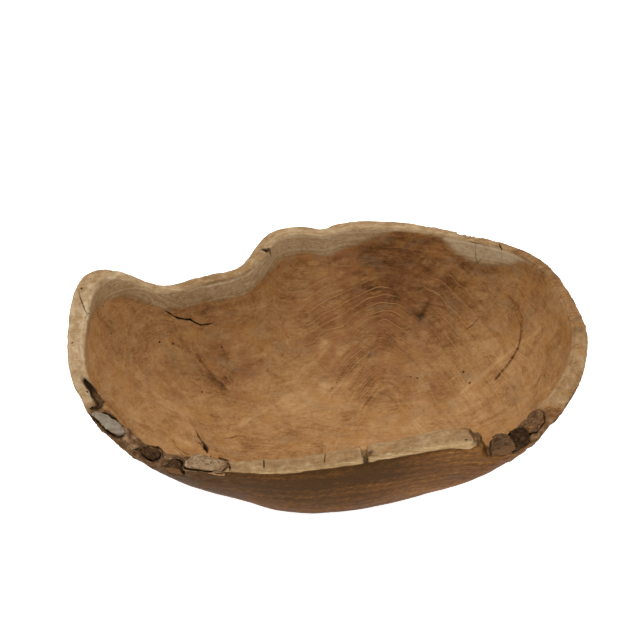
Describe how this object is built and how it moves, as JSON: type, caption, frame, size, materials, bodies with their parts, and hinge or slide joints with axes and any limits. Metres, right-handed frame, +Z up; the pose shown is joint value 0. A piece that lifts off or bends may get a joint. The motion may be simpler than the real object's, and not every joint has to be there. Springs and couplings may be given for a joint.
{
  "type": "carved wooden bowl",
  "caption": "Live-edge bowl carved from a teak root, with an uneven rim that keeps its bark seams, ingrown root and knots; for fruit or display.",
  "frame": {"origin": "middle of the flat foot, on the surface the bowl stands on", "axes": "+X along the bowl's length to its rounder end, +Y towards the high side, +Z up out of the hollow"},
  "size_m": [0.5016, 0.3388, 0.1762],
  "materials": {
    "wood_body": "satin",
    "pale_root": "matte",
    "bark": "matte",
    "knot_wood": "matte"
  },
  "bodies": {
    "root": {"bowl_body": "wood_body", "bark_strip_left": "bark", "ingrown_root_lobe": "pale_root", "bark_block_left": "bark", "bark_block_front_left": "bark", "front_knot": "knot_wood", "burl_block_right": "knot_wood", "bark_wedge_right": "bark", "knot_right": "knot_wood"}
  },
  "joints": []
}
